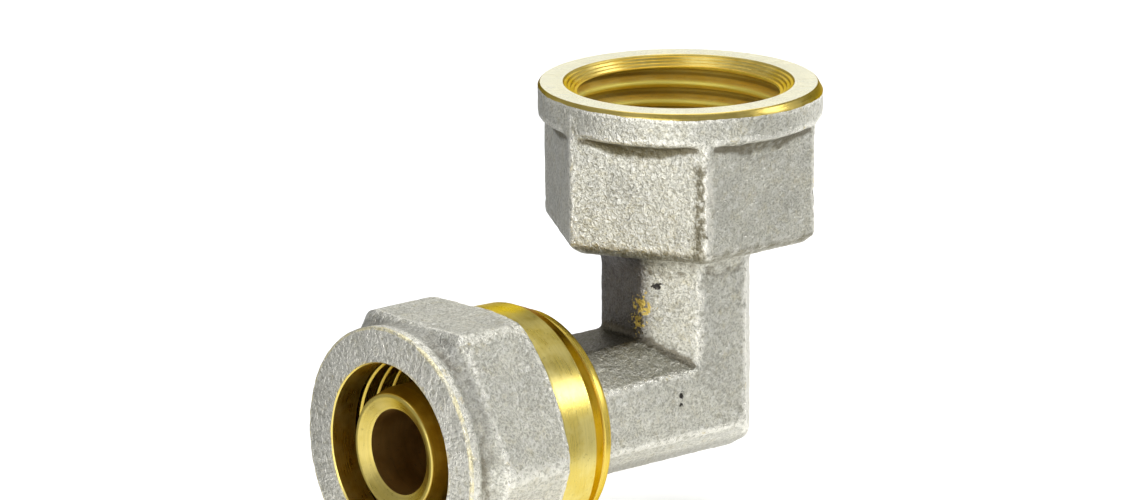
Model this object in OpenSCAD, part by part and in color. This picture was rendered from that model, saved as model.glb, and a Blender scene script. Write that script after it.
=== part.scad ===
// 90 degree compression elbow: female pipe thread on top, compression end for
// multilayer pipe on the side.
// Frame: the origin is the centre of the threaded socket's mouth, +Z points out of
// the socket, the compression end points along -X. All sizes are in millimetres.

/* [Elbow] */
// Height of the socket's mouth above the axis of the compression end
socket_rise = 29; // [28.5:0.5:33]
// Width of the forged legs across their flats
leg_w = 13.4; // [13:0.2:14.6]
// Height of the horizontal leg above its axis
leg_top = 6.3; // [6.1:0.1:6.7]
// Depth of the horizontal leg below its axis
leg_bottom = 5.9; // [5.8:0.1:6.5]
// How far the bevel cuts into the elbow's outer corner
heel_cut = 2.4; // [1.5:0.1:3]

/* [Threaded socket] */
// Diameter of the round collar at the mouth
collar_d = 26.2; // [26:0.1:27]
// Height of the collar's straight side
collar_h = 3.1; // [2.5:0.1:3.4]
// Width of the socket's hexagon across its flats
socket_af = 22.8; // [22.6:0.1:23.6]
// Depth below the mouth at which the hexagon starts to narrow
hex_depth = 13.4; // [13.2:0.1:14.4]
// Length of thread below the countersink
thread_len = 11.2; // [10.5:0.1:11.6]

/* [Pipe end] */
// Distance from the socket's axis to the nut's front face
nut_reach = 34.5; // [34.3:0.1:34.7]
// Outside diameter of the pipe the end is made for
pipe_od = 16; // [15.8:0.1:16.1]
// Diameter of the insert stem that the pipe slides over
stem_d = 11.8; // [11.6:0.1:11.9]
// Bore through the stem
stem_bore = 7.9; // [7.4:0.1:8.2]
// Width of the nut across its flats
nut_af = 23.3; // [23.2:0.1:24.4]
// Width of the slot in the split ring
split_w = 1.6; // [1.2:0.1:2.4]

/* [Part to draw] */
// Sub-part to draw, or all of them

/* [Hidden] */
$fn = 96;
eps = 0.01;

// G 1/2 pipe thread in the socket
pipe_pitch = 1.814;
pipe_major_r = 20.955 / 2;
pipe_minor_r = 18.631 / 2;
sink_r = 10.6;
sink_depth = 0.9;
thread_end = sink_depth + thread_len;

// M20 x 1.5 thread between the body and the nut
nut_pitch = 1.5;
male_r = 9.97;
male_root_r = 9.05;
nut_bore_r = male_r + 0.06;

// Outside of the socket
collar_r = collar_d / 2;
face_r = collar_r - 0.3;
edge = 0.3;
collar_blend = 1.65;
hex_r = socket_af / sqrt(3);
hex_bevel = 0.9;
underside = -hex_depth - hex_bevel;
neck_blend = 2.8;

// Section of the vertical leg: a regular octagon
leg_half = leg_w / 2;
leg_face = leg_half * tan(22.5);
neck_shift = -0.35;

// Stations along the compression end, measured out from the socket's axis
land_back = 16.4;
land_front = 17.9;
land_r = 10.3;
male_start = 20.2;
male_rings = 4;
mouth = 26.6;
pocket = 21;
pocket_r = pipe_od / 2 + 0.1;
stem_tip = nut_reach - 0.5;
stem_r = stem_d / 2;
tip_r = stem_r - 0.47;
tip_taper = 1.6;
bore_r = stem_bore / 2;
mouth_sink = 0.6;
waterway_r = 4.5;

// O-rings
cord_d = 1.5;
groove_w = 2;
groove_r = stem_r - 1.15;
groove_front = 28.3;
groove_back = 24.1;
o_ring_r = groove_r - 0.05 + cord_d / 2;

// Nut
nut_back = land_front + 0.45;
nut_flat_back = 23.4;
nut_flat_front = nut_reach - 3.1;
nut_ring_r = 11.5;
nut_hex_r = nut_af / sqrt(3);
band_front_r = nut_af / 2 - 0.3;
band_back_r = 10.95;
nut_thread_end = 28.6;
nut_lip = nut_reach - 2.9;
nut_lip_r = pipe_od / 2 + 0.3;
chamber_r = 9.35;
chamber_end = nut_reach - 4.7;

// Split ring
ring_back = mouth - 0.6;
ring_front = nut_reach - 3.15;
ring_r = 9.15;
ring_bore_r = pipe_od / 2 + 0.15;
tooth = 0.2;
tooth_w = 0.3;
tooth_pitch = 1.65;
teeth = 3;

// Insulating washer
washer_t = 1;
washer_out_r = pocket_r - 0.12;
washer_in_r = stem_r + 0.06;

// Points of an arc from angle a0 to a1 about (cx, cy)
function arc(cx, cy, r, a0, a1, n = 8) =
    [for (i = [0 : n]) [cx + r * cos(a0 + (a1 - a0) * i / n), cy + r * sin(a0 + (a1 - a0) * i / n)]];

// Puts children drawn along +Z, with +X as up, on the compression end's axis
module on_leg() {
    translate([0, 0, -socket_rise])
    rotate([0, -90, 0])
    children();
}

// Section of the horizontal leg: x is up, y is across
module leg_section() {
    half = leg_w / 2;
    polygon([
        [leg_top, -leg_face],
        [leg_top - half + leg_face + 1, -half],
        [-leg_bottom + half - leg_face - 0.7, -half],
        [-leg_bottom, -leg_face],
        [-leg_bottom, leg_face],
        [-leg_bottom + half - leg_face - 0.7, half],
        [leg_top - half + leg_face + 1, half],
        [leg_top, leg_face]
    ]);
}

// Regular octagon with flats across X and Y
module neck_section() {
    rotate([0, 0, 22.5])
    circle(r = leg_half / cos(22.5), $fn = 8);
}

// Round collar at the socket's mouth, with the hollow blend under it
module collar() {
    rotate_extrude()
    polygon(concat(
        [
            [0, 0],
            [face_r, 0],
            [collar_r, -0.7],
            [collar_r, -collar_h]
        ],
        arc(collar_r, -collar_h - collar_blend, collar_blend, 90, 180),
        [
            [collar_r - collar_blend - 0.2, -collar_h - collar_blend - 0.3],
            [0, -collar_h - collar_blend - 0.3]
        ]
    ));
}

// Hexagon under the collar, bevelled at its lower edge
module socket_hex() {
    translate([0, 0, -hex_depth])
    cylinder(h = hex_depth - 1, r = hex_r, $fn = 6);
    translate([0, 0, underside])
    cylinder(h = hex_bevel, r1 = hex_r - hex_bevel, r2 = hex_r, $fn = 6);
}

// Hollow blend between the hexagon's underside and the vertical leg
module neck_blend() {
    blend_x = leg_half + neck_blend;
    blend_z = underside - neck_blend;
    translate([neck_shift, 0, 0])
    rotate_extrude()
    polygon(concat(
        [
            [0, underside + 0.5],
            [blend_x, underside + 0.5]
        ],
        arc(blend_x, blend_z, neck_blend, 90, 172),
        [
            [leg_half - 0.4, blend_z],
            [0, blend_z]
        ]
    ));
}

// The two forged legs and the corner where they meet
module legs() {
    translate([neck_shift, 0, -socket_rise])
    linear_extrude(height = socket_rise - hex_depth)
    neck_section();
    on_leg()
    linear_extrude(height = land_back + 0.5)
    leg_section();
    intersection() {
        translate([neck_shift, 0, -socket_rise - leg_w])
        linear_extrude(height = 2 * leg_w)
        neck_section();
        on_leg()
        translate([0, 0, -leg_w])
        linear_extrude(height = 2 * leg_w)
        leg_section();
        translate([0, 0, -socket_rise])
        rotate([0, 45, 0])
        translate([-50, -25, -25])
        cube([50 + (leg_half + leg_bottom - heel_cut) / sqrt(2), 50, 50]);
    }
}

// Turned end: land, male thread, pocket for the pipe and insert stem
module turned_end() {
    rotate_extrude()
    polygon(concat(
        [
            [0, land_back],
            [land_r - 0.9, land_back],
            [land_r, land_back + 0.9],
            [land_r, land_front],
            [male_root_r, land_front]
        ],
        [
            for (i = [0 : male_rings - 1], k = [0 : 3])
            [k == 0 || k == 3 ? male_root_r : male_r, male_start + i * nut_pitch + k * 0.38]
        ],
        [
            [male_root_r, mouth - 0.2],
            [male_root_r - 0.1, mouth],
            [male_root_r - 0.2, mouth],
            [pocket_r, mouth - 1.5],
            [pocket_r, pocket],
            [stem_r, pocket]
        ],
        [
            for (g = [groove_back, groove_front], k = [0 : 3])
            [k == 0 || k == 3 ? stem_r : groove_r, g + (k < 2 ? -1 : 1) * groove_w / 2]
        ],
        [
            [stem_r, stem_tip - tip_taper],
            [tip_r, stem_tip],
            [0, stem_tip]
        ]
    ));
}

// Hollow of the threaded socket: countersink, thread grooves and drill cone
module socket_hollow() {
    turns = floor(thread_len / pipe_pitch);
    rotate_extrude()
    polygon(concat(
        [
            [0, 1],
            [sink_r, 1],
            [sink_r, 0],
            [pipe_minor_r, -sink_depth]
        ],
        [
            for (i = [0 : turns - 1], k = [0 : 3])
            [
                k == 0 || k == 3 ? pipe_minor_r : pipe_major_r,
                -sink_depth - 0.35 - i * pipe_pitch - k * 0.48
            ]
        ],
        [
            [pipe_minor_r, -thread_end],
            [waterway_r + 0.1, -thread_end - 1],
            [0, -thread_end - 1]
        ]
    ));
}

// Water's way from the socket's floor to the stem's mouth
module waterway() {
    translate([0, 0, -socket_rise])
    cylinder(h = socket_rise - thread_end, r = waterway_r);
    translate([0, 0, -socket_rise])
    sphere(r = waterway_r);
    on_leg()
    cylinder(h = stem_tip + 1, r = bore_r);
    on_leg()
    translate([0, 0, stem_tip - mouth_sink])
    cylinder(h = mouth_sink + eps, r1 = bore_r, r2 = tip_r - 0.2);
}

module elbow_body() {
    color([0.70, 0.69, 0.66])
    difference() {
        union() {
            collar();
            socket_hex();
            neck_blend();
            legs();
            on_leg()
            turned_end();
        }
        socket_hollow();
        waterway();
    }
}

// Hexagon of the nut, flats up and down, with turned rear corners
module nut_hex() {
    intersection() {
        translate([0, 0, nut_flat_back])
        rotate([0, 0, 30])
        cylinder(h = nut_flat_front - nut_flat_back, r = nut_hex_r, $fn = 6);
        rotate_extrude()
        polygon([
            [0, nut_flat_back],
            [band_front_r + 0.1, nut_flat_back],
            [nut_hex_r + 0.1, nut_flat_back + 1],
            [nut_hex_r + 0.1, nut_flat_front],
            [0, nut_flat_front]
        ]);
    }
}

// Forged front: from the hexagon down to the round front ring
module nut_front() {
    hull() {
        translate([0, 0, nut_flat_front - 0.1])
        rotate([0, 0, 30])
        cylinder(h = 0.1, r = nut_hex_r, $fn = 6);
        translate([0, 0, nut_reach - 0.9])
        cylinder(h = 0.1, r = nut_ring_r + 0.25);
    }
    translate([0, 0, nut_reach - 1])
    cylinder(h = 1 - edge, r1 = nut_ring_r + 0.22, r2 = nut_ring_r + 0.05);
    translate([0, 0, nut_reach - edge])
    cylinder(h = edge, r1 = nut_ring_r + 0.05, r2 = nut_ring_r - edge);
}

// Turned band behind the hexagon, narrowing to the rear edge
module nut_band() {
    rotate_extrude()
    polygon([
        [0, nut_back],
        [band_back_r - 0.2, nut_back],
        [band_back_r, nut_back + 0.2],
        [band_front_r - 0.1, nut_back + 1.25],
        [band_front_r, nut_flat_back + 0.2],
        [0, nut_flat_back + 0.2]
    ]);
}

// Hollow of the nut: thread bore, ring chamber, closing cone and pipe mouth
module nut_hollow() {
    rotate_extrude()
    polygon([
        [0, nut_back - 1],
        [nut_bore_r + 0.35, nut_back - 1],
        [nut_bore_r + 0.35, nut_back],
        [nut_bore_r, nut_back + 0.35],
        [nut_bore_r, nut_thread_end],
        [chamber_r, nut_thread_end + 0.5],
        [chamber_r, chamber_end],
        [nut_lip_r + 0.35, nut_lip],
        [nut_lip_r, nut_lip],
        [nut_lip_r, nut_reach - edge / 2],
        [nut_lip_r + edge / 2, nut_reach],
        [nut_lip_r + edge / 2, nut_reach + 1],
        [0, nut_reach + 1]
    ]);
}

module compression_nut() {
    color([0.72, 0.71, 0.69])
    on_leg()
    difference() {
        union() {
            nut_hex();
            nut_front();
            nut_band();
        }
        nut_hollow();
    }
}

// Clamping ring with toothed bore and coned ends, open at a slot
module split_ring() {
    color([0.83, 0.66, 0.33])
    on_leg()
    difference() {
        rotate_extrude()
        polygon(concat(
            [
                [ring_bore_r + tooth, ring_back],
                [ring_r - 0.7, ring_back],
                [ring_r, ring_back + 1.4],
                [ring_r, chamber_end - 0.1],
                [nut_lip_r + 0.3, ring_front],
                [ring_bore_r + tooth, ring_front]
            ],
            [
                for (i = [0 : teeth - 1], k = [-1 : 1])
                [
                    ring_bore_r + abs(k) * tooth,
                    ring_front - 0.25 - i * tooth_pitch - k * tooth_w / 2
                ]
            ]
        ));
        translate([-15, -split_w / 2, ring_back - 1])
        cube([15, split_w, ring_front - ring_back + 2]);
    }
}

// One rubber ring seated in its groove at the given station
module o_ring(station) {
    color([0.09, 0.09, 0.09])
    on_leg()
    translate([0, 0, station])
    rotate_extrude()
    translate([o_ring_r, 0])
    circle(d = cord_d, $fn = 24);
}

module front_o_ring() {
    o_ring(groove_front);
}

module rear_o_ring() {
    o_ring(groove_back);
}

module insulating_washer() {
    color([0.92, 0.92, 0.90])
    on_leg()
    translate([0, 0, pocket - 0.02])
    difference() {
        cylinder(h = washer_t + 0.02, r = washer_out_r);
        translate([0, 0, -1])
        cylinder(h = washer_t + 2, r = washer_in_r);
    }
}

elbow_body();
compression_nut();
split_ring();
front_o_ring();
rear_o_ring();
insulating_washer();
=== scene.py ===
import math
import bmesh
import bpy
import numpy as np
from mathutils import Matrix, Vector

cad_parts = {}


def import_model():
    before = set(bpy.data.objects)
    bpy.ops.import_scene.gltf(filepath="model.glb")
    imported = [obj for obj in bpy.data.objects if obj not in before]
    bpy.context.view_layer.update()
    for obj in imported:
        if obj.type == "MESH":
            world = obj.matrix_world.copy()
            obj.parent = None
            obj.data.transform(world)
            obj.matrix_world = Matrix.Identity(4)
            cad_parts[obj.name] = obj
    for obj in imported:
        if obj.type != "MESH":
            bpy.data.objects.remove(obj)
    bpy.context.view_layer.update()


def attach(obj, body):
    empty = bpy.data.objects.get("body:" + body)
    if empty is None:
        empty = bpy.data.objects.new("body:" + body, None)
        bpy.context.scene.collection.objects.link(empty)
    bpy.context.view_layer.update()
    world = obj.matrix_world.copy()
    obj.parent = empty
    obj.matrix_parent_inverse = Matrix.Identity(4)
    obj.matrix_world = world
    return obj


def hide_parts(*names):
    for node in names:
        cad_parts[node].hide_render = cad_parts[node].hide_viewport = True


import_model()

MM = 0.001

# Sizes in millimetres, as in the CAD model, except the four radii from MALE_R to NUT_CREST,
# which are this model's own. SINK_STEPS and DRILL_RINGS are counts.
RISE = 29.0
FACE_R = 12.8
COLLAR_R = 13.1
COLLAR_H = 3.1
COLLAR_BLEND = 1.65
SOCKET_AF = 22.8
HEX_DEPTH = 13.4
HEX_BEVEL = 0.9
HEX_R = SOCKET_AF / 2 / math.cos(math.radians(30))
UNDERSIDE = -HEX_DEPTH - HEX_BEVEL
LEG_HALF = 6.7
LEG_TOP = 6.3
LEG_BOTTOM = 5.9
LEG_FACE = LEG_HALF * math.tan(math.radians(22.5))
NECK_SHIFT = -0.35
NECK_BLEND = 2.8
HEEL_CUT = 2.4
PIPE_PITCH = 1.814
PIPE_MAJOR = 10.478
PIPE_MINOR = 9.316
SINK_R = 10.6
SINK_DEPTH = 0.9
SINK_STEPS = 4
DRILL_RINGS = 12
THREAD_LEN = 11.2
NUT_PITCH = 1.5
MALE_R = 9.95
MALE_ROOT = 9.08
NUT_ROOT = 10.06
NUT_CREST = 9.24
LAND_BACK = 16.4
LAND_FRONT = 17.9
LAND_R = 10.3
MOUTH = 26.6
POCKET = 21.0
POCKET_R = 8.1
REACH = 34.5
STEM_TIP = REACH - 0.5
STEM_R = 5.9
TIP_R = 5.43
TIP_TAPER = 1.6
STEM_BORE = 3.95
WATERWAY = 4.5
GROOVES = (24.1, 28.3)
GROOVE_W = 2.0
GROOVE_R = 4.75
CORD = 1.5
NUT_AF = 23.3
NUT_BACK = LAND_FRONT + 0.45
FLAT_BACK = 23.4
FLAT_FRONT = REACH - 3.1
RING_R = 11.5
BAND_FRONT = NUT_AF / 2 - 0.3
BAND_BACK = 10.95
THREAD_END = 28.6
CHAMBER_R = 9.35
CHAMBER_END = REACH - 4.7
LIP = REACH - 2.9
LIP_R = 8.3
SPLIT_BACK = 26.0
SPLIT_FRONT = REACH - 3.15
SPLIT_R = 9.15
SPLIT_BORE = 8.15
SPLIT_W = 1.6
TEETH = 3
TOOTH = 0.2
TOOTH_PITCH = 1.65

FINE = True
VOXEL = 0.16 if FINE else 0.3
TURN = 256 if FINE else 96
# Distances of the supporting rows from an edge
SUPPORT = (0.1, 0.3)
# Bend at which an edge counts as a full ridge
RIDGE = 0.9


# ---------------------------------------------------------------- mesh tools

def new_object(name, verts, faces, mats=(), slots=None):
    """A mesh object from points in millimetres and faces, with one material slot number a face."""
    me = bpy.data.meshes.new(name)
    me.from_pydata([tuple(v) for v in verts], [], [tuple(f) for f in faces])
    for m in mats:
        me.materials.append(m)
    if slots is not None:
        me.polygons.foreach_set("material_index", np.asarray(slots, np.int32))
    me.update()
    ob = bpy.data.objects.new(name, me)
    bpy.context.scene.collection.objects.link(ob)
    return ob


def drop(ob):
    me = ob.data
    bpy.data.objects.remove(ob)
    if me.users == 0:
        bpy.data.meshes.remove(me)


def coords(me):
    co = np.zeros(len(me.vertices) * 3, np.float64)
    me.vertices.foreach_get("co", co)
    return co.reshape(-1, 3)


def set_coords(me, co):
    me.vertices.foreach_set("co", np.ascontiguousarray(co, np.float32).ravel())
    me.update()


def vertex_normals(me):
    n = np.zeros(len(me.vertices) * 3, np.float32)
    me.vertices.foreach_get("normal", n)
    return n.reshape(-1, 3).astype(np.float64)


def edge_pairs(me):
    e = np.zeros(len(me.edges) * 2, np.int32)
    me.edges.foreach_get("vertices", e)
    return e.reshape(-1, 2)


def neighbour_mean(values, pairs, count):
    total = np.zeros((count,) + values.shape[1:])
    number = np.zeros(count)
    for a, b in ((0, 1), (1, 0)):
        np.add.at(total, pairs[:, a], values[pairs[:, b]])
        np.add.at(number, pairs[:, a], 1)
    number = np.maximum(number, 1)
    return total / (number[:, None] if values.ndim > 1 else number)


def smooth_mesh(me, rounds):
    """Moves each point half way to the mean of its neighbours, round after round."""
    co, pairs = coords(me), edge_pairs(me)
    for _ in range(rounds):
        co += 0.5 * (neighbour_mean(co, pairs, len(co)) - co)
    set_coords(me, co)


# Primes that scatter a cell's three whole-number coordinates
HASH = (73856093, 19349663, 83492791)


def lattice_noise(co, size, seed):
    """Smooth value noise from -1 to 1 at points in millimetres, with cells of the given size."""
    p = co / size + 37.3 * seed
    cell = np.floor(p).astype(np.int64)
    t = p - cell
    t = t * t * (3 - 2 * t)
    out = np.zeros(len(co))
    for dx in (0, 1):
        for dy in (0, 1):
            for dz in (0, 1):
                key = (cell[:, 0] + dx) * HASH[0]
                key ^= (cell[:, 1] + dy) * HASH[1]
                key ^= (cell[:, 2] + dz) * HASH[2]
                key = (key ^ (key >> 13)) * 1274126177 & 0x7FFFFFFF
                value = (key % 20011) / 10005.0 - 1.0
                weight = (
                    (t[:, 0] if dx else 1 - t[:, 0])
                    * (t[:, 1] if dy else 1 - t[:, 1])
                    * (t[:, 2] if dz else 1 - t[:, 2])
                )
                out += value * weight
    return out


def modified(ob):
    """Applies the object's modifiers to its own mesh."""
    bpy.context.view_layer.update()
    graph = bpy.context.evaluated_depsgraph_get()
    final = ob.evaluated_get(graph)
    me = bpy.data.meshes.new_from_object(final, preserve_all_data_layers=True, depsgraph=graph)
    old = ob.data
    ob.modifiers.clear()
    ob.data = me
    bpy.data.meshes.remove(old)
    return ob


def remeshed(ob, voxel):
    mod = ob.modifiers.new("voxels", "REMESH")
    mod.mode = "VOXEL"
    mod.voxel_size = voxel
    mod.adaptivity = 0
    return modified(ob)


def cut(ob, cutter, operation="DIFFERENCE"):
    """Boolean with the cutter. Its cut faces take the cutter's materials."""
    mod = ob.modifiers.new("cut", "BOOLEAN")
    mod.operation = operation
    mod.solver = "MANIFOLD"
    mod.material_mode = "TRANSFER"
    mod.object = cutter
    modified(ob)
    drop(cutter)
    return ob


def with_support(rows, slots):
    """Adds rows near both ends of every long straight stretch, so edge wear, painted shade and painted
    highlights stay at the edges.
    """
    out, kinds = [], []
    for j, (r, z) in enumerate(rows):
        out.append((r, z))
        kinds.append(slots[j])
        r2, z2 = rows[(j + 1) % len(rows)]
        if any(callable(v) for v in (r, z, r2, z2)) or max(r, r2) < 1e-9:
            continue
        length = math.hypot(r2 - r, z2 - z)
        if length < 3 * SUPPORT[-1]:
            continue
        for t in [d / length for d in SUPPORT] + [1 - d / length for d in SUPPORT[::-1]]:
            out.append((r + (r2 - r) * t, z + (z2 - z) * t))
            kinds.append(slots[j])
    return out, kinds


def lathe(name, rows, mats=(), turns=None, span=None, row_slots=None):
    """A closed solid turned about local Z.

    rows is a closed outline of (radius, z), each a number or a function of the angle; span is
    the arc it covers when it isn't a full turn. row_slots gives a material slot for the
    faces between each row and the next. Coinciding points are welded at the end.
    """
    turns = turns or TURN
    rows, row_slots = with_support(rows, row_slots or [0] * len(rows))
    a0, a1 = span or (0.0, 2 * math.pi)
    count = max(8, int(turns * (a1 - a0) / (2 * math.pi)))
    angles = np.linspace(a0, a1, count + 1)
    n = count + 1
    verts, faces, slots = [], [], []
    for radius, height in rows:
        r = radius(angles) if callable(radius) else np.full(n, radius)
        z = height(angles) if callable(height) else np.full(n, height)
        verts.extend(np.stack([r * np.cos(angles), r * np.sin(angles), z], 1).tolist())
    for j in range(len(rows)):
        a, b = j * n, (j + 1) % len(rows) * n
        faces += [(a + i, a + i + 1, b + i + 1, b + i) for i in range(count)]
        slots += [row_slots[j]] * count
    if span:
        faces.append([j * n for j in range(len(rows))])
        faces.append([j * n + count for j in range(len(rows))][::-1])
        slots += [0, 0]
    ob = new_object(name, verts, faces, mats, slots)
    bm = bmesh.new()
    bm.from_mesh(ob.data)
    bmesh.ops.remove_doubles(bm, verts=bm.verts, dist=1e-4)
    bmesh.ops.recalc_face_normals(bm, faces=bm.faces)
    bm.to_mesh(ob.data)
    bm.free()
    return ob


def prism(name, outline, z0, z1, top=None, mats=()):
    """A closed prism on a polygon of (x, y), or a frustum to a second polygon at the top."""
    n = len(outline)
    verts = [(x, y, z0) for x, y in outline] + [(x, y, z1) for x, y in (top or outline)]
    faces = [list(range(n))[::-1], list(range(n, 2 * n))]
    faces += [[i, (i + 1) % n, n + (i + 1) % n, n + i] for i in range(n)]
    return new_object(name, verts, faces, mats)


def ngon(n, radius, phase=0.0):
    return [
        (radius * math.cos(phase + 2 * math.pi * i / n), radius * math.sin(phase + 2 * math.pi * i / n))
        for i in range(n)
    ]


def moved(ob, matrix):
    ob.data.transform(matrix)
    ob.data.update()
    return ob


def joined(name, parts):
    """One object that holds all the parts' faces."""
    bm = bmesh.new()
    for p in parts:
        bm.from_mesh(p.data)
    me = bpy.data.meshes.new(name)
    bm.to_mesh(me)
    bm.free()
    for m in parts[0].data.materials:
        me.materials.append(m)
    for p in parts:
        drop(p)
    ob = bpy.data.objects.new(name, me)
    bpy.context.scene.collection.objects.link(ob)
    return ob


def arc(cx, cy, r, a0, a1, n=10):
    turns = [math.radians(a0 + (a1 - a0) * i / n) for i in range(n + 1)]
    return [(cx + r * math.cos(t), cy + r * math.sin(t)) for t in turns]


# Local frame of the compression end: X is up, Y across, Z out along world -X
ON_LEG = Matrix.Translation((0, 0, -RISE)) @ Matrix.Rotation(-math.pi / 2, 4, "Y")


# Steepens a thread's wave, so that its crest and root come out flat
THREAD_SHARP = 1.35


def thread_wave(z, angle, pitch):
    """0 at one thread limit and 1 at the other, along a right-hand helix."""
    phase = (z / pitch - angle / (2 * math.pi)) % 1.0
    wave = np.abs(2 * phase - 1)
    return np.clip(0.5 + (wave - 0.5) * THREAD_SHARP, 0, 1)


def thread_rows(z0, z1, pitch, inner, outer, fade_in, fade_out, rest):
    """Rows that follow the helix of a thread from z0 up to z1 and fade to the rest radius at each end."""
    per_turn = 16 if FINE else 8
    step = pitch / per_turn
    count = per_turn + math.ceil((z1 - z0) / step)
    rows = []
    for k in range(count + 1):

        def height(angle, k=k):
            return np.clip(z0 - pitch + step * k + pitch * angle / (2 * math.pi), z0, z1)

        def radius(angle, height=height):
            z = height(angle)
            near = np.minimum((z - z0) / fade_in, (z1 - z) / fade_out)
            full = inner + (outer - inner) * thread_wave(z, angle, pitch)
            return rest + (full - rest) * np.clip(near, 0, 1)

        rows.append((radius, height))
    return rows


def finish_piece(ob, body, nodes, angle=32.0):
    """Metres, smooth shading with crisp edges, and the piece's place in the frame."""
    moved(ob, Matrix.Scale(MM, 4))
    ob.data.shade_smooth()
    ob.data.set_sharp_from_angle(angle=math.radians(angle))
    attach(ob, body)
    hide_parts(*nodes)
    return ob


# ---------------------------------------------------------------- materials

class Graph:
    """A material's node graph, with sizes given in millimetres."""

    def __init__(self, name, metallic=1.0):
        self.material = bpy.data.materials.new(name)
        self.material.use_nodes = True
        self.tree = self.material.node_tree
        self.tree.nodes.clear()
        out = self.tree.nodes.new("ShaderNodeOutputMaterial")
        self.shader = self.tree.nodes.new("ShaderNodeBsdfPrincipled")
        self.shader.inputs["Metallic"].default_value = metallic
        self.tree.links.new(self.shader.outputs[0], out.inputs[0])
        self.place = self.tree.nodes.new("ShaderNodeTexCoord").outputs["Object"]
        split = self.tree.nodes.new("ShaderNodeSeparateXYZ")
        self.tree.links.new(self.place, split.inputs[0])
        self.x, self.y, self.z = [self.calc("MULTIPLY", out, 1 / MM) for out in split.outputs]

    def node(self, kind, out=0, settings=None, **inputs):
        """Adds a node and gives one of its outputs. Inputs go by name, or i0, i1 and so on."""
        n = self.tree.nodes.new("ShaderNode" + kind)
        for key, value in (settings or {}).items():
            setattr(n, key, value)
        for key, value in inputs.items():
            numbered = key[0] == "i" and key[1:].isdigit()
            self.put(n.inputs[int(key[1:]) if numbered else key], value)
        return n.outputs[out]

    def put(self, socket, value):
        if isinstance(value, bpy.types.NodeSocket):
            self.tree.links.new(value, socket)
        elif isinstance(value, tuple) and len(value) == 3 and socket.type == "RGBA":
            socket.default_value = value + (1.0,)
        else:
            socket.default_value = value

    def set(self, name, value):
        self.put(self.shader.inputs[name], value)

    def noise(self, size, detail=2.0, rough=0.5, stretch=None, distortion=0.0):
        where = self.place
        if stretch:
            settings = {"vector_type": "POINT"}
            where = self.node("Mapping", settings=settings, Vector=where, Scale=stretch)
        return self.node("TexNoise", Vector=where, Scale=1 / (size * MM), Detail=detail, Roughness=rough,
                         Distortion=distortion)

    def calc(self, operation, a, b=0.0, c=0.0, clamp=False):
        settings = {"operation": operation, "use_clamp": clamp}
        return self.node("Math", settings=settings, i0=a, i1=b, i2=c)

    def span(self, value, low, high, to_low=0.0, to_high=1.0):
        """Maps low..high to to_low..to_high, clamped, with soft ends."""
        settings = {"interpolation_type": "SMOOTHSTEP"}
        return self.node("MapRange", settings=settings, Value=value, i1=low, i2=high, i3=to_low, i4=to_high)

    def mix(self, factor, a, b, blend="MIX"):
        n = self.tree.nodes.new("ShaderNodeMix")
        n.data_type, n.blend_type = "RGBA", blend
        self.put(n.inputs["Factor"], factor)
        for socket, value in ((6, a), (7, b)):
            self.put(n.inputs[socket], value)
        return n.outputs[2]

    def attribute(self, name):
        return self.node("Attribute", out=2, settings={"attribute_name": name})

    def band(self, value, low, high, soft):
        """1 where the value is between low and high, 0 further out than soft beyond them."""
        return self.calc("MULTIPLY", self.span(value, low - soft, low), self.span(value, high + soft, high))

    def radius(self, a, b):
        return self.calc("SQRT", self.calc("ADD", self.calc("MULTIPLY", a, a), self.calc("MULTIPLY", b, b)))

    def every(self, *masks):
        out = masks[0]
        for m in masks[1:]:
            out = self.calc("MULTIPLY", out, m)
        return out

    def spot(self, centre, radius, ragged):
        """1 within a ragged round mark at a point given in millimetres, 0 outside it."""
        away = self.node("VectorMath", out=1, settings={"operation": "DISTANCE"}, i0=self.place,
                         i1=tuple(v * MM for v in centre))
        wobble = self.calc("MULTIPLY", self.calc("SUBTRACT", ragged, 0.5), 5.0 * radius * MM)
        return self.span(self.calc("ADD", away, wobble), radius * MM, 0.55 * radius * MM)

    def bump(self, height, depth, under=None):
        """Bump with the height's full range worth the given depth in millimetres."""
        n = self.tree.nodes.new("ShaderNodeBump")
        n.inputs["Strength"].default_value = 1.0
        n.inputs["Distance"].default_value = depth * MM
        self.put(n.inputs["Height"], height)
        if under is not None:
            self.put(n.inputs["Normal"], under)
        return n.outputs[0]

    def shape(self, normal):
        self.put(self.shader.inputs["Normal"], normal)
        return self.material


# Small marks on the body: centre in millimetres, radius, colour
BARE = (0.80, 0.60, 0.16)
NICK = (0.06, 0.055, 0.05)
MARKS = [
    ((-7.02, -2.8, -19.6), 0.95, BARE),
    ((-7.41, -2.4, -21.2), 0.80, BARE),
    ((-5.98, -3.84, -17.7), 0.42, NICK),
    ((-6.54, -6.7, -24.0), 0.25, NICK),
    ((-5.57, -6.7, -27.5), 0.30, NICK),
    ((-5.57, -6.7, -28.4), 0.25, NICK),
]


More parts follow.
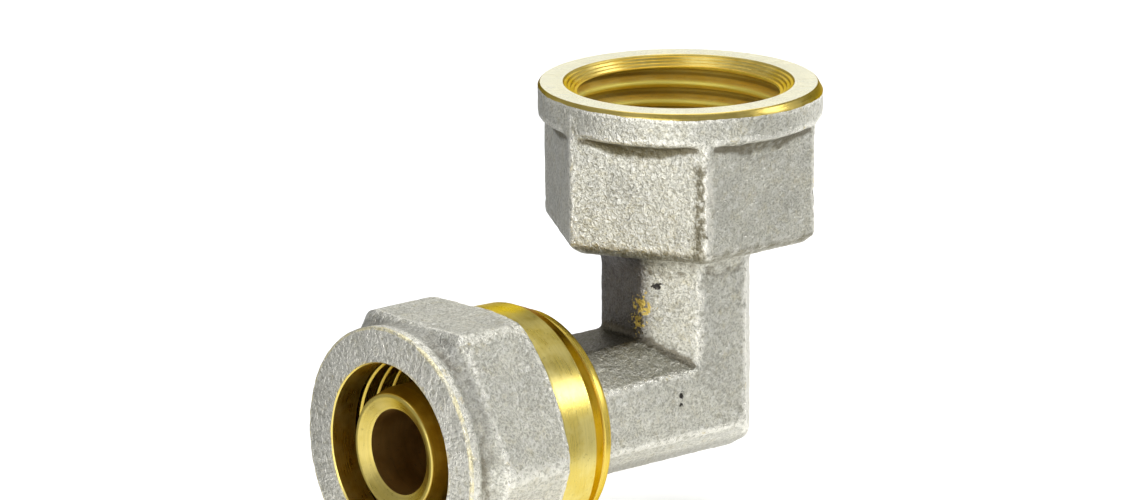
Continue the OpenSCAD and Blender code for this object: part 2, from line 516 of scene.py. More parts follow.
def body_painted_light(g, base, ragged):
    """Painted light on the body's plate: shadow under the collar, shade on the neck in the inner corner and
    on the leg's top and lower bevel, a dark reflection at the hexagon's foot, and shade and a highlight
    beside the hexagon's front edge.
    """
    # Painted shadow under the collar, stronger on the front-left face
    r = g.radius(g.x, g.y)
    out = g.calc("MAXIMUM", g.calc("SUBTRACT", COLLAR_R, r), 0.0)
    rest = g.calc("SUBTRACT", COLLAR_BLEND ** 2, g.calc("MULTIPLY", out, out))
    rise = g.calc("SQRT", g.calc("MAXIMUM", rest, 0.7))
    below = g.calc("SUBTRACT", g.calc("ADD", g.z, COLLAR_H + COLLAR_BLEND), rise)
    hollow = g.every(g.band(below, -0.35, 0.2, 0.4), g.span(r, 10.6, 11.2), g.span(r, 12.9, 12.0),
                     g.span(g.x, -3.0, -7.0, 0.35, 1.0), g.span(ragged, 0.30, 0.62, 0.55, 0.85))
    base = g.mix(hollow, base, (0.17, 0.15, 0.085))
    # Painted reflection: a dark olive band on the bevel at the hexagon's foot
    foot = g.band(g.z, UNDERSIDE - 0.1, UNDERSIDE + 0.7, 0.7)
    base = g.mix(g.calc("MULTIPLY", foot, g.span(ragged, 0.3, 0.6, 0.35, 0.8)), base, (0.20, 0.18, 0.11))
    # Painted shade on the neck's face in the inner corner
    corner = g.every(g.span(g.x, -5.0, -6.4), g.band(g.z, -22.5, -15.0, 1.2), g.band(g.y, -2.6, 4.0, 1.2))
    base = g.mix(g.calc("MULTIPLY", corner, 0.86), base, (0.075, 0.066, 0.068))
    # Painted shade on the leg's top, darker towards the far side
    top = g.every(g.band(g.z, -23.3, -22.2, 0.5), g.span(g.x, -6.0, -7.4), g.span(g.x, -17.5, -16.0))
    base = g.mix(g.calc("MULTIPLY", top, g.span(g.y, -4.0, 2.0, 0.30, 0.75)), base, (0.16, 0.14, 0.09))
    # Painted shade on the leg's lower bevel
    under = g.calc("MULTIPLY", g.span(g.z, -33.2, -34.0), g.span(g.x, -18.0, -16.6))
    base = g.mix(g.calc("MULTIPLY", under, 0.5), base, (0.30, 0.29, 0.25))
    # Painted shade and a painted highlight beside the hexagon's front edge
    turn = math.radians(240)
    side = g.calc("ADD", g.calc("MULTIPLY", g.x, -math.sin(turn)), g.calc("MULTIPLY", g.y, math.cos(turn)))
    near = g.every(g.span(r, 11.9, 12.3), g.span(g.y, -8.0, -9.5), g.band(g.z, -13.4, -5.2, 0.8))
    waver = g.calc("ADD", side, g.calc("MULTIPLY", g.calc("SUBTRACT", ragged, 0.5), 1.6))
    torn = g.noise(0.7, detail=4.0, rough=0.7)
    shade = g.every(near, g.band(waver, -0.75, -0.3, 0.45), g.span(torn, 0.40, 0.56, 0.25, 0.95))
    base = g.mix(shade, base, (0.21, 0.19, 0.13))
    glint = g.every(near, g.band(waver, 0.1, 0.45, 0.4), g.span(torn, 0.62, 0.44, 0.1, 0.85))
    return g.mix(glint, base, (0.95, 0.92, 0.82))


def nut_wear_and_painted_light(g, base, ragged):
    """Painted highlight round the front edge, partly plate worn to brass there, a pale line at the lip, and
    painted shade in the hollow behind the edge on the upper side.
    """
    r = g.radius(g.y, g.calc("ADD", g.z, RISE))
    # Painted highlight round the front edge, partly plate worn through to brass
    line = g.every(g.span(g.x, -REACH + 0.42, -REACH + 0.25), g.band(r, RING_R - 0.1, RING_R + 0.2, 0.08))
    base = g.mix(g.calc("MULTIPLY", line, g.span(ragged, 0.36, 0.58, 0.25, 1.0)), base, (0.95, 0.87, 0.58))
    lip = g.every(g.span(g.x, -REACH + 0.4, -REACH + 0.2), g.span(r, LIP_R + 0.45, LIP_R + 0.2))
    base = g.mix(g.calc("MULTIPLY", lip, g.span(ragged, 0.42, 0.6)), base, (0.88, 0.80, 0.56))
    # Painted shade in the hollow behind the front edge, on the upper side
    cone = g.every(g.band(g.x, -REACH + 1.2, -FLAT_FRONT - 0.5, 0.5), g.span(g.z, -RISE + 2.0, -RISE + 6.0))
    return g.mix(g.calc("MULTIPLY", cone, 0.35), base, (0.26, 0.26, 0.25))


def nickel_material(name, wear_and_painted_light, relief):
    """Nickel plate over blasted brass: coarse grain, warm stains, painted shade in hollows, and ridges rubbed
    smoother with a painted highlight.
    """
    g = Graph(name)
    edge = g.attribute("edge")
    fine = g.noise(0.20, detail=2.0, rough=0.65)
    worms = g.noise(0.46, detail=3.0, rough=0.6, distortion=0.8)
    patches = g.noise(3.4, detail=4.0, rough=0.6)
    stains = g.noise(1.1, detail=4.0, rough=0.65)
    base = g.mix(g.span(patches, 0.38, 0.62), (0.67, 0.66, 0.585), (0.76, 0.745, 0.65))
    base = g.mix(g.span(stains, 0.50, 0.72, 0.0, 0.55), base, (0.66, 0.61, 0.44))
    base = g.mix(g.span(fine, 0.36, 0.56, 0.5, 0.0), base, (0.24, 0.23, 0.19))
    base = g.mix(g.span(worms, 0.52, 0.66, 0.0, 0.55), base, (0.92, 0.91, 0.85))
    base = g.mix(g.span(worms, 0.44, 0.34, 0.0, 0.35), base, (0.34, 0.32, 0.25))
    # Painted shade: the plate darkened in hollows
    base = g.mix(g.span(edge, -0.04, -0.40, 0.0, 0.8), base, (0.20, 0.175, 0.12))
    # Ridges: plate rubbed smoother, and lightened as a painted highlight
    rub_and_highlight = g.calc("MULTIPLY", g.span(edge, 0.10, 0.36), g.span(worms, 0.34, 0.52))
    base = g.mix(g.calc("MULTIPLY", rub_and_highlight, 0.85), base, (0.93, 0.91, 0.82))
    bare = g.calc("MULTIPLY", g.span(edge, 0.25, 0.6), g.span(stains, 0.60, 0.70))
    base = g.mix(g.calc("MULTIPLY", bare, 0.5), base, (0.82, 0.70, 0.38))
    # The piece's wear and painted light
    base = wear_and_painted_light(g, base, stains)
    torn = g.noise(0.5, detail=3.0, rough=0.7)
    for centre, size, colour in MARKS if wear_and_painted_light is body_painted_light else []:
        base = g.mix(g.spot(centre, size, torn), base, colour)
    g.set("Base Color", base)
    rough = g.span(fine, 0.3, 0.7, 0.50, 0.32)
    g.set("Roughness", g.calc("SUBTRACT", rough, g.calc("MULTIPLY", rub_and_highlight, 0.08), clamp=True))
    lumps = g.bump(g.noise(1.3, detail=2.0), 0.08)
    height = g.calc("ADD", g.calc("MULTIPLY", fine, 0.4), worms)
    return g.shape(g.bump(height, relief, lumps))


def brass_material(name, along, colour, pale, rough=0.2, lines=1.0):
    """Bare turned brass: fine rings left by the tool round the given axis, with slight tarnish and painted
    shade in hollows.
    """
    g = Graph(name)
    stretch = {"X": (1.0, 0.02, 0.02), "Z": (0.02, 0.02, 1.0)}[along]
    rings = g.noise(0.10, detail=3.0, rough=0.7, stretch=stretch)
    coarse = g.noise(0.6, detail=2.0, rough=0.5, stretch=stretch)
    patches = g.noise(2.6, detail=4.0, rough=0.6)
    specks = g.noise(0.30, detail=3.0, rough=0.65)
    edge = g.attribute("edge")
    base = g.mix(g.span(patches, 0.38, 0.64), colour, pale)
    dull = tuple(0.55 * v for v in colour)
    base = g.mix(g.span(specks, 0.60, 0.74, 0.0, 0.55), base, dull)
    base = g.mix(g.span(rings, 0.35, 0.60, 0.30 * lines, 0.0), base, dull)
    # Painted shade in hollows
    base = g.mix(g.span(edge, -0.1, -0.7, 0.0, 0.7), base, tuple(0.4 * v for v in colour))
    worn = tuple(min(0.98, 1.15 * v + 0.03) for v in colour)
    base = g.mix(g.span(edge, 0.3, 1.0, 0.0, 0.7), base, worn)
    g.set("Base Color", base)
    turned = g.span(rings, 0.3, 0.7, rough, rough + 0.08)
    g.set("Roughness", g.calc("ADD", turned, g.span(patches, 0.3, 0.8, 0.0, 0.10)))
    g.shader.inputs["Specular Tint"].default_value = colour + (1.0,)
    waves = g.bump(coarse, 0.015 * lines)
    return g.shape(g.bump(rings, 0.010 * lines, g.bump(specks, 0.008, waves)))


def rubber_material(name):
    g = Graph(name, metallic=0.0)
    fine = g.noise(0.12, detail=3.0, rough=0.6)
    bloom = g.noise(1.2, detail=3.0, rough=0.6)
    base = g.mix(g.span(bloom, 0.4, 0.75), (0.012, 0.012, 0.013), (0.038, 0.037, 0.036))
    g.set("Base Color", g.mix(g.span(fine, 0.5, 0.8, 0.0, 0.5), base, (0.06, 0.058, 0.055)))
    g.set("Roughness", g.span(bloom, 0.3, 0.7, 0.42, 0.62))
    return g.shape(g.bump(fine, 0.01))


def plastic_material(name):
    g = Graph(name, metallic=0.0)
    fine = g.noise(0.10, detail=2.0)
    cloud = g.noise(2.2, detail=3.0, rough=0.55)
    base = g.mix(g.span(cloud, 0.35, 0.7), (0.80, 0.79, 0.755), (0.88, 0.875, 0.85))
    g.set("Base Color", g.mix(g.span(fine, 0.58, 0.8, 0.0, 0.3), base, (0.66, 0.64, 0.58)))
    g.set("Roughness", g.span(cloud, 0.3, 0.7, 0.36, 0.5))
    g.shader.inputs["Subsurface Weight"].default_value = 0.15
    g.shader.inputs["Subsurface Radius"].default_value = (0.0008, 0.0007, 0.0005)
    return g.shape(g.bump(fine, 0.008))


# The body's plate takes painted shadow, shade, reflection and highlight; the nut's takes wear and painted
# highlight and shade
BODY_NICKEL = nickel_material("blasted_nickel_body", body_painted_light, 0.17)
NUT_NICKEL = nickel_material("blasted_nickel_nut", nut_wear_and_painted_light, 0.21)
FACE_BRASS = brass_material("turned_brass_face", "Z", (0.91, 0.89, 0.75), (0.95, 0.94, 0.83), 0.16, 0.5)
RIM_BRASS = brass_material("turned_brass_rim", "Z", (0.58, 0.44, 0.10), (0.70, 0.56, 0.18), 0.24, 0.6)
THREAD_BRASS = brass_material("cut_brass_thread", "Z", (0.98, 0.78, 0.20), (1.0, 0.85, 0.30), 0.55, 0.6)
SINK_BRASS = brass_material("cut_brass_countersink", "Z", (0.78, 0.60, 0.14), (0.88, 0.72, 0.24), 0.30, 0.9)
BAND_BRASS = brass_material("turned_brass_band", "X", (0.79, 0.63, 0.16), (0.87, 0.74, 0.27), 0.24, 0.5)
BEVEL_BRASS = brass_material("turned_brass_bevel", "X", (0.62, 0.37, 0.03), (0.72, 0.46, 0.06), 0.22, 0.5)
LAND_BRASS = brass_material("turned_brass_land", "X", (0.74, 0.55, 0.09), (0.84, 0.66, 0.15), 0.22, 0.6)
STEM_BRASS = brass_material("dull_brass_stem", "X", (0.50, 0.32, 0.03), (0.60, 0.41, 0.06), 0.32, 0.8)
TIP_BRASS = brass_material("turned_brass_tip", "X", (0.64, 0.50, 0.12), (0.72, 0.58, 0.18), 0.24, 0.6)
LIP_BRASS = brass_material("dark_brass_lip", "X", (0.21, 0.12, 0.012), (0.27, 0.165, 0.02), 0.32, 0.8)
BORE_BRASS = brass_material("red_brass_bore", "X", (0.42, 0.24, 0.06), (0.50, 0.30, 0.085), 0.42, 0.8)
TOOTH_BRASS = brass_material("bright_brass_ring", "X", (0.58, 0.43, 0.07), (0.70, 0.54, 0.12), 0.20, 0.6)
RUBBER = rubber_material("black_rubber")
PLASTIC = plastic_material("white_plastic")


def mark_edges(me, spread=3):
    """Stores how sharply the surface bends: above zero on ridges, below zero in hollows."""
    co, normal, pairs = coords(me), vertex_normals(me), edge_pairs(me)
    a, b = pairs[:, 0], pairs[:, 1]
    along = co[b] - co[a]
    length = np.maximum((along ** 2).sum(1), 1e-4)
    bend = ((normal[b] - normal[a]) * along).sum(1) / length
    total, number = np.zeros(len(co)), np.zeros(len(co))
    for side in (a, b):
        np.add.at(total, side, bend)
        np.add.at(number, side, 1)
    value = total / np.maximum(number, 1)
    for _ in range(spread):
        value = 0.5 * value + 0.5 * neighbour_mean(value, pairs, len(co))
    layer = me.attributes.get("edge") or me.attributes.new("edge", "FLOAT", "POINT")
    layer.data.foreach_set("value", np.clip(value, -3, 3).astype(np.float32))
    return value


# ---------------------------------------------------------------- elbow body

OCTAGON_R = LEG_HALF / math.cos(math.radians(22.5))
STOCK = 1.5
# How much shorter, in height, the leg's upper and lower bevels are than a regular octagon's
TOP_TRIM = 1.0
BOTTOM_TRIM = 0.7
LEG_OUTLINE = [
    (LEG_TOP, -LEG_FACE),
    (LEG_TOP - LEG_HALF + LEG_FACE + TOP_TRIM, -LEG_HALF),
    (-LEG_BOTTOM + LEG_HALF - LEG_FACE - BOTTOM_TRIM, -LEG_HALF),
    (-LEG_BOTTOM, -LEG_FACE),
    (-LEG_BOTTOM, LEG_FACE),
    (-LEG_BOTTOM + LEG_HALF - LEG_FACE - BOTTOM_TRIM, LEG_HALF),
    (LEG_TOP - LEG_HALF + LEG_FACE + TOP_TRIM, LEG_HALF),
    (LEG_TOP, LEG_FACE),
]


def octagon_radius(angle, apothem):
    off = (angle + math.pi / 8) % (math.pi / 4) - math.pi / 8
    return apothem / np.cos(off)


def neck_flare():
    """Hollow blend from the octagonal leg out to the hexagon's underside."""
    low = UNDERSIDE - NECK_BLEND
    rows = [(0, low - 0.3)]
    for t in np.linspace(0, 1, 15):
        z = low + NECK_BLEND * t
        out = NECK_BLEND * (1 - math.sqrt(1 - t * t)) if t < 1 else NECK_BLEND

        def radius(angle, out=out, t=t):
            soft = 1 - (1 - t) ** 2
            eight = octagon_radius(angle, LEG_HALF - 0.02)
            return eight + (LEG_HALF + 0.2 - eight) * soft + out

        rows.append((radius, z))
    return rows + [(LEG_HALF + NECK_BLEND, UNDERSIDE + 0.5), (0, UNDERSIDE + 0.5)]


def forged_blank():
    """The elbow as it leaves the forging die, with stock above the socket's face."""
    beside = Matrix.Translation((NECK_SHIFT, 0, 0))
    collar = [(0, STOCK), (COLLAR_R, STOCK), (COLLAR_R, -COLLAR_H)]
    collar += arc(COLLAR_R, -COLLAR_H - COLLAR_BLEND, COLLAR_BLEND, 90, 180)
    foot = -COLLAR_H - COLLAR_BLEND - 0.3
    collar += [(COLLAR_R - COLLAR_BLEND - 0.2, foot), (0, foot)]
    blend = neck_flare()
    octagon = ngon(8, OCTAGON_R, math.radians(22.5))
    corner = moved(prism("corner", octagon, -RISE - 2 * LEG_HALF, -RISE + 2 * LEG_HALF), beside)
    cut(corner, moved(prism("leg_through", LEG_OUTLINE, -2 * LEG_HALF, 2 * LEG_HALF), ON_LEG), "INTERSECT")
    heel = (LEG_HALF + LEG_BOTTOM - HEEL_CUT) / math.sqrt(2)
    keep = prism("heel_side", [(-50, -25), (heel, -25), (heel, 25), (-50, 25)], -25, 25)
    moved(keep, Matrix.Translation((0, 0, -RISE)) @ Matrix.Rotation(math.radians(45), 4, "Y"))
    cut(corner, keep, "INTERSECT")
    return joined("forging", [
        prism("hexagon", ngon(6, HEX_R), -HEX_DEPTH, -1.0),
        prism("hex_bevel", ngon(6, HEX_R - HEX_BEVEL), UNDERSIDE, -HEX_DEPTH + 0.02, ngon(6, HEX_R)),
        moved(lathe("collar", collar), Matrix.Translation((0.10, -0.08, 0))),
        moved(lathe("neck_blend", blend), beside),
        moved(prism("neck", octagon, -RISE, -HEX_DEPTH), beside),
        moved(prism("leg", LEG_OUTLINE, 0, LAND_BACK + 0.5), ON_LEG),
        corner,
    ])


def rough_forging(ob):
    """Voxels, then soft edges, dents along the ridges and slow lumps."""
    remeshed(ob, VOXEL)
    me = ob.data
    smooth_mesh(me, 16 if FINE else 5)
    ridge = np.clip(mark_edges(me, 2) / RIDGE, 0, 1)
    co, normal = coords(me), vertex_normals(me)
    dents = np.clip(lattice_noise(co, 0.9, 5) - 0.15, 0, 1) * ridge * 0.2
    for centre, radius, _ in MARKS:
        away = np.linalg.norm(co - np.array(centre), axis=1)
        dents += 0.14 * np.clip(1 - away / (0.9 * radius), 0, 1)
    lumps = 0.04 * lattice_noise(co, 4.5, 1) + 0.022 * lattice_noise(co, 1.4, 2)
    grain = 0.02 * lattice_noise(co, 0.5, 3)
    set_coords(me, co + normal * (lumps + grain - dents)[:, None])
    return ob


def turned_end():
    """Land, male thread, mouth and grooved stem, in the leg's frame."""
    start = LAND_FRONT + 0.9
    rows = [(0, LAND_BACK), (LAND_R - 0.85, LAND_BACK), (LAND_R - 0.75, LAND_BACK + 0.04),
            (LAND_R - 0.05, LAND_BACK + 0.67), (LAND_R, LAND_BACK + 0.8), (LAND_R, LAND_FRONT - 0.25),
            (LAND_R - 0.05, LAND_FRONT - 0.18), (LAND_R - 0.25, LAND_FRONT), (MALE_ROOT, LAND_FRONT),
            (MALE_ROOT, start)]
    thread = len(rows) - 1
    rows += thread_rows(start, MOUTH - 0.35, NUT_PITCH, MALE_ROOT, MALE_R, 0.5, 0.35, MALE_ROOT)
    rows += [(MALE_ROOT, MOUTH - 0.3), (MALE_ROOT - 0.25, MOUTH), (MALE_ROOT - 0.4, MOUTH)]
    rows += [(POCKET_R, MOUTH - 1.5), (POCKET_R, POCKET + 0.1), (POCKET_R - 0.1, POCKET), (STEM_R, POCKET)]
    for g in GROOVES:
        rear, fore = g - GROOVE_W / 2, g + GROOVE_W / 2
        rows += [(STEM_R, rear - 0.06), (STEM_R - 0.06, rear), (GROOVE_R, rear)]
        rows += [(GROOVE_R, fore), (STEM_R - 0.06, fore), (STEM_R, fore + 0.06)]
    rows += [(STEM_R, STEM_TIP - TIP_TAPER), (TIP_R + 0.06, STEM_TIP - 0.1)]
    tip = len(rows) - 1
    rows += [(TIP_R - 0.04, STEM_TIP), (0, STEM_TIP)]
    slots = [0 if j < thread else 1 if j < tip else 2 for j in range(len(rows))]
    return moved(lathe("turned_end", rows, [LAND_BRASS, STEM_BRASS, TIP_BRASS], row_slots=slots), ON_LEG)


def socket_cutter():
    """What the tools take out of the socket: face, countersink, thread and drilled way."""
    end = -SINK_DEPTH - THREAD_LEN
    rows = [(0, 4), (20, 4), (20, 0), (SINK_R + 0.05, 0), (SINK_R, -0.05)]
    face = len(rows) - 2
    ledge = (SINK_R - PIPE_MINOR) / SINK_STEPS
    for k in range(SINK_STEPS):
        foot = -SINK_DEPTH * (k + 1) / SINK_STEPS
        rows += [(SINK_R - ledge * (k + 0.25), foot + 0.04), (SINK_R - ledge * (k + 1), foot)]
    thread = len(rows)
    top = -SINK_DEPTH - 0.02
    rows += thread_rows(end, top, PIPE_PITCH, PIPE_MINOR, PIPE_MAJOR, 1.2, 0.3, PIPE_MINOR)[::-1]
    for k in range(1, DRILL_RINGS):
        r = PIPE_MINOR - (PIPE_MINOR - WATERWAY) * k / DRILL_RINGS
        rows.append((r, end - 0.02 - k / DRILL_RINGS - 0.03 * (k % 2)))
    rows += [(WATERWAY + 0.1, end - 1), (WATERWAY, end - 1.1), (WATERWAY, -RISE)]
    for t in np.linspace(0.1, 1.45, 10):
        rows.append((WATERWAY * math.cos(t), -RISE - WATERWAY * math.sin(t)))
    rows += [(0, -RISE - WATERWAY)]
    slots = [0 if j < face else 1 if j < thread else 2 for j in range(len(rows))]
    return lathe("socket_cutter", rows, [FACE_BRASS, SINK_BRASS, THREAD_BRASS], row_slots=slots)


def stem_cutter():
    rows = [(0, 0.5), (STEM_BORE, 0.5), (STEM_BORE, STEM_TIP - 0.65), (TIP_R - 0.25, STEM_TIP + 0.02),
            (TIP_R - 0.25, STEM_TIP + 1), (0, STEM_TIP + 1)]
    return moved(lathe("stem_cutter", rows, [BORE_BRASS, TIP_BRASS], row_slots=[0, 0, 1, 1, 1, 1]), ON_LEG)


def rim_cutter():
    """Turns the rim under the face, a little off the forging's centre."""
    rows = [(FACE_R - 0.5, 1), (18, 1), (18, -1.1)]
    rows += [(FACE_R + 0.62, -1.1), (FACE_R + 0.03, -0.06), (FACE_R - 0.06, 0)]
    return lathe("rim_cutter", rows, [RIM_BRASS])


def elbow_body():
    ob = rough_forging(forged_blank())
    ob.name = "elbow_body_piece"
    ob.data.materials.append(BODY_NICKEL)
    cut(ob, turned_end(), "UNION")
    cut(ob, socket_cutter())
    cut(ob, rim_cutter())
    cut(ob, stem_cutter())
    mark_edges(ob.data)
    return finish_piece(ob, "elbow", ["elbow_body"])


# ---------------------------------------------------------------- nut

NUT_VERTEX = 1.7
COVE = 0.2


def rounded_hexagon(angle, apothem, vertex):
    """Radius at an angle of a hexagon with a flat facing angle 0 and rounded corners."""
    off = (angle + math.pi / 6) % (math.pi / 3) - math.pi / 6
    flat = apothem / np.cos(off)
    delta = math.pi / 6 - np.abs(off)
    centre = (apothem - vertex) / math.cos(math.pi / 6)
    inside = np.maximum(vertex ** 2 - (centre * np.sin(delta)) ** 2, 0)
    round_ = centre * np.cos(delta) + np.sqrt(inside)
    foot = math.atan2(vertex * math.sin(math.pi / 6), centre + vertex * math.cos(math.pi / 6))
    return np.where(delta < foot, round_, flat)


def soft_min(a, b, blend):
    h = np.clip(0.5 + 0.5 * (b - a) / blend, 0, 1)
    return b + (a - b) * h - blend * h * (1 - h)


def forged_nut():
    """Hexagon with rounded corners that draws in through a hollow to the round front ring."""
    apothem = NUT_AF / 2
    ring = RING_R + 0.12
    tail, front, neck = FLAT_BACK, FLAT_FRONT - 0.2, REACH - 1.0
    flats = np.arange(tail, front, 0.2 if FINE else 0.5)
    slope = np.linspace(front, neck, 14 if FINE else 6)
    rows = [(0, tail)]
    for z in list(flats) + list(slope):
        t = max(0.0, (z - front) / (neck - front))

        def radius(angle, z=z, t=t):
            six = rounded_hexagon(angle, apothem, NUT_VERTEX)
            draw = math.sin(t * math.pi / 2) ** 0.9
            cove = COVE * math.sin(t * math.pi) ** 0.8
            turned = BAND_FRONT + 0.15 + (z - FLAT_BACK) * 1.9
            return soft_min(six + (ring - six) * draw - cove, np.full(len(angle), turned), 0.2)

        rows.append((radius, float(z)))
    rows += arc_rows(ring - 0.16, REACH - 0.16, 0.16)
    rows += [(0, REACH)]
    return lathe("compression_nut_piece", rows, [NUT_NICKEL], turns=384 if FINE else 120)


def arc_rows(r, z, radius):
    return [(r + radius * math.cos(t), z + radius * math.sin(t)) for t in np.linspace(0.15, math.pi / 2, 6)]


def turned_band():
    """Rear band of the nut, with its bevel down to the rear edge."""
    rows = [(0, NUT_BACK), (BAND_BACK - 0.25, NUT_BACK), (BAND_BACK - 0.15, NUT_BACK + 0.08),
            (BAND_FRONT - 0.14, NUT_BACK + 1.15), (BAND_FRONT - 0.08, NUT_BACK + 1.28),
            (BAND_FRONT, FLAT_BACK - 0.3), (BAND_FRONT - 0.02, FLAT_BACK + 0.3), (0, FLAT_BACK + 0.3)]
    return lathe("turned_band", rows, [BAND_BRASS, BEVEL_BRASS], row_slots=[1, 1, 1, 1, 0, 0, 0, 0])


def nut_cutter():
    start, end = NUT_BACK + 0.3, THREAD_END
    rows = [(0, NUT_BACK - 1), (NUT_ROOT + 0.35, NUT_BACK - 1)]
    rows += [(NUT_ROOT + 0.35, NUT_BACK), (NUT_ROOT, start)]
    rows += thread_rows(start, end, NUT_PITCH, NUT_CREST, NUT_ROOT, 0.8, 0.5, NUT_ROOT)
    rows += [(NUT_ROOT, end), (CHAMBER_R, end + 0.5), (CHAMBER_R, CHAMBER_END), (LIP_R + 0.35, LIP),
             (LIP_R + 0.05, LIP + 0.03), (LIP_R, LIP + 0.1), (LIP_R, REACH - 0.14), (LIP_R + 0.12, REACH),
             (LIP_R + 0.12, REACH + 1), (0, REACH + 1)]
    slots = [1] * (len(rows) - 5) + [0] * 5
    return lathe("nut_cutter", rows, [BAND_BRASS, LIP_BRASS], row_slots=slots)


def compression_nut():
    ob = forged_nut()
    me = ob.data
    co, normal = coords(me), vertex_normals(me)
    lumps = 0.035 * lattice_noise(co, 4.0, 11) + 0.02 * lattice_noise(co, 1.3, 12)
    lumps += 0.02 * lattice_noise(co, 0.5, 13)
    ridge = np.clip(mark_edges(me, 2) / RIDGE, 0, 1)
    dents = np.clip(lattice_noise(co, 0.9, 14) - 0.2, 0, 1) * ridge * 0.15
    set_coords(me, co + normal * (lumps - dents)[:, None])
    cut(ob, turned_band(), "UNION")
    cut(ob, nut_cutter())
    mark_edges(ob.data)
    moved(ob, ON_LEG)
    return finish_piece(ob, "nut", ["compression_nut"])


# ---------------------------------------------------------------- ring, seals and washer

def split_ring():
    """Turned clamping ring with saw teeth inside, open at a slot that faces down."""
    root, crest, end = SPLIT_BORE + TOOTH, SPLIT_BORE, LIP_R + 0.3
    rows = [(root, SPLIT_BACK), (SPLIT_R - 0.7, SPLIT_BACK), (SPLIT_R - 0.04, SPLIT_BACK + 1.32),
            (SPLIT_R, SPLIT_BACK + 1.45), (SPLIT_R, CHAMBER_END - 0.15), (SPLIT_R - 0.04, CHAMBER_END - 0.05),
            (end, SPLIT_FRONT - 0.05), (end - 0.05, SPLIT_FRONT), (root, SPLIT_FRONT)]
    for i in range(TEETH):
        top = SPLIT_FRONT - 0.25 - i * TOOTH_PITCH
        rows += [(root, top + 0.16), (crest + 0.02, top + 0.03), (crest, top), (crest + 0.02, top - 0.03),
                 (root, top - 0.16)]
    half = math.asin(SPLIT_W / 2 / SPLIT_BORE)
    ob = lathe("split_ring_piece", rows, [TOOTH_BRASS], span=(-math.pi + half, math.pi - half))
    mark_edges(ob.data, 1)
    moved(ob, ON_LEG)
    return finish_piece(ob, "ring", ["split_ring"])


def o_ring(node, station):
    """Rubber cord with the mould's thin flash line round its outside and inside."""
    middle = GROOVE_R + CORD / 2
    rows = []
    count = 48 if FINE else 20
    for i in range(count):
        t = 2 * math.pi * i / count
        flash = 0.02 * max(0.0, abs(math.cos(t)) - 0.985) / 0.015
        r = CORD / 2 - 0.02 + flash
        rows.append((middle + r * math.cos(t), station + r * math.sin(t)))
    ob = lathe(node + "_piece", rows, [RUBBER], turns=160 if FINE else 64)
    mark_edges(ob.data, 1)
    moved(ob, ON_LEG)
    return finish_piece(ob, "elbow", [node], 60)


def insulating_washer():
    inner, outer, back, front = STEM_R + 0.06, POCKET_R - 0.12, POCKET - 0.02, POCKET + 1.0
    b = 0.12
    rows = [(inner + b, back), (outer - b, back), (outer, back + b), (outer, front - b), (outer - b, front),
            (inner + b, front), (inner, front - b), (inner, back + b)]
    ob = lathe("insulating_washer_piece", rows, [PLASTIC], turns=160 if FINE else 64)
    mark_edges(ob.data, 1)
    moved(ob, ON_LEG)
    return finish_piece(ob, "elbow", ["insulating_washer"])


elbow_body()
compression_nut()
split_ring()
o_ring("front_o_ring", GROOVES[1])
o_ring("rear_o_ring", GROOVES[0])
insulating_washer()


# ---------------------------------------------------------------- stage, light and camera

FLOOR_Z = -RISE - NUT_AF / 2 - 0.06
FLOOR_GLOW = 0.45
# What the camera and the lights are aimed at
CENTRE = Vector((-13.13, 0.0, -13.76)) * MM


def floor():
    g = Graph("pale_floor", metallic=0.0)
    cloud = g.noise(60.0, detail=3.0)
    g.set("Base Color", g.mix(g.span(cloud, 0.3, 0.7), (0.93, 0.93, 0.925), (0.96, 0.96, 0.955)))
    g.set("Roughness", g.span(cloud, 0.3, 0.7, 0.75, 0.85))
    g.set("Emission Color", (1.0, 1.0, 0.99))
    g.set("Emission Strength", FLOOR_GLOW)
    g.shape(g.bump(g.noise(0.8, detail=2.0), 0.01))
    size = 3000
    ob = new_object("floor", [(-size, -size, 0), (size, -size, 0), (size, size, 0), (-size, size, 0)],
                    [(0, 1, 2, 3)], [g.material])
    moved(ob, Matrix.Scale(MM, 4) @ Matrix.Translation((0, 0, FLOOR_Z)))


def world():
    w = bpy.data.worlds.new("studio")
    bpy.context.scene.world = w
    w.use_nodes = True
    w.node_tree.nodes["Background"].inputs["Color"].default_value = (0.97, 0.985, 1.0, 1.0)
    w.node_tree.nodes["Background"].inputs["Strength"].default_value = 0.34


# Section of a card: distance from the fitting's middle and height above the floor
CARD_SECTION = ((32, 0.4), (260, 0.4), (300, 130))


def grey_card(name, start, end, shade):
    """Curved card round the fitting from one compass direction to another.

    It is seen only in the metal's reflections.
    """
    g = Graph(name, metallic=0.0)
    pale = tuple(1.12 * v for v in shade)
    g.set("Base Color", g.mix(g.span(g.noise(30.0), 0.4, 0.6), shade, pale))
    g.shader.inputs["Roughness"].default_value = 0.9
    rim = [(math.cos(math.radians(a)), math.sin(math.radians(a))) for a in np.linspace(start, end, 12)]
    verts = []
    for r, z in CARD_SECTION:
        verts += [(CENTRE.x / MM + r * x, r * y, FLOOR_Z + z) for x, y in rim]
    n = len(rim)
    faces = []
    for a in (0, n):
        faces += [(a + i, a + i + 1, a + n + i + 1, a + n + i) for i in range(n - 1)]
    ob = new_object(name, verts, faces, [g.material])
    moved(ob, Matrix.Scale(MM, 4))
    ob.visible_camera = ob.visible_diffuse = ob.visible_shadow = False


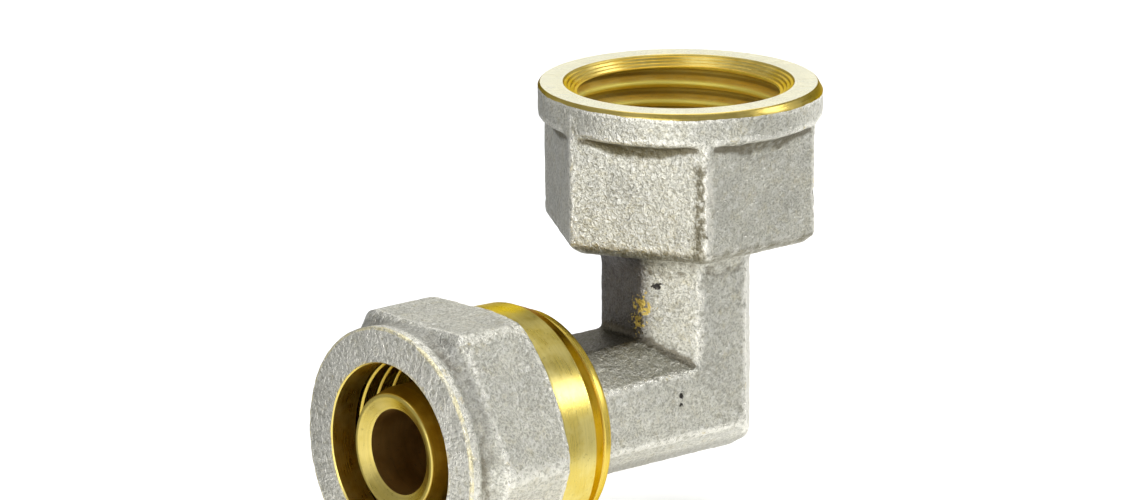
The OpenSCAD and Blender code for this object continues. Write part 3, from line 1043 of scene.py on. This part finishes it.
def soft_light(name, azimuth, elevation, distance, width, height, power, colour=(1, 1, 1)):
    """Rectangular soft light aimed at the fitting from a compass direction and height."""
    az, el = math.radians(azimuth), math.radians(elevation)
    away = Vector((math.cos(az) * math.cos(el), math.sin(az) * math.cos(el), math.sin(el)))
    light = bpy.data.lights.new(name, "AREA")
    light.shape, light.size, light.size_y = "RECTANGLE", width, height
    light.energy, light.color = power, colour
    ob = bpy.data.objects.new(name, light)
    ob.location = CENTRE + away * distance
    ob.rotation_euler = away.to_track_quat("Z", "Y").to_euler()
    bpy.context.scene.collection.objects.link(ob)
    return ob


def camera():
    az, el, roll = math.radians(-40.19), math.radians(14.88), math.radians(-0.24)
    distance, focal, frame_width = 0.6642, 7296.7, 1140.0
    back = Vector((math.sin(az) * math.cos(el), -math.cos(az) * math.cos(el), math.sin(el)))
    level = Vector((math.cos(az), math.sin(az), 0))
    up = back.cross(level)
    right = level * math.cos(roll) + up * math.sin(roll)
    up = back.cross(right)
    data = bpy.data.cameras.new("camera")
    data.sensor_fit, data.sensor_width = "HORIZONTAL", 36.0
    data.lens = focal / frame_width * data.sensor_width
    data.clip_start, data.clip_end = 0.01, 20.0
    ob = bpy.data.objects.new("camera", data)
    turn = Matrix((right, up, back)).transposed().to_4x4()
    ob.matrix_world = Matrix.Translation(CENTRE + back * distance) @ turn
    bpy.context.scene.collection.objects.link(ob)
    bpy.context.scene.camera = ob


floor()
world()
# Directions from and to, and colour
grey_card("dark_card", 58, 94, (0.23, 0.235, 0.25))
grey_card("pale_card", 100, 165, (0.40, 0.40, 0.40))
grey_card("right_card", 285, 340, (0.50, 0.50, 0.49))
# Direction, elevation, distance, width, height, power and colour
soft_light("top_light", 30, 78, 0.6, 0.6, 0.6, 2.0)
soft_light("back_light", 50, 20, 0.6, 0.5, 0.16, 0.24, (1, 0.98, 0.9))
soft_light("front_left_light", 205, 12, 0.6, 0.4, 0.4, 1.25)
soft_light("right_fill", -44, 26, 0.7, 0.16, 0.16, 0.75)
camera()
bpy.context.scene.view_settings.view_transform = "Standard"
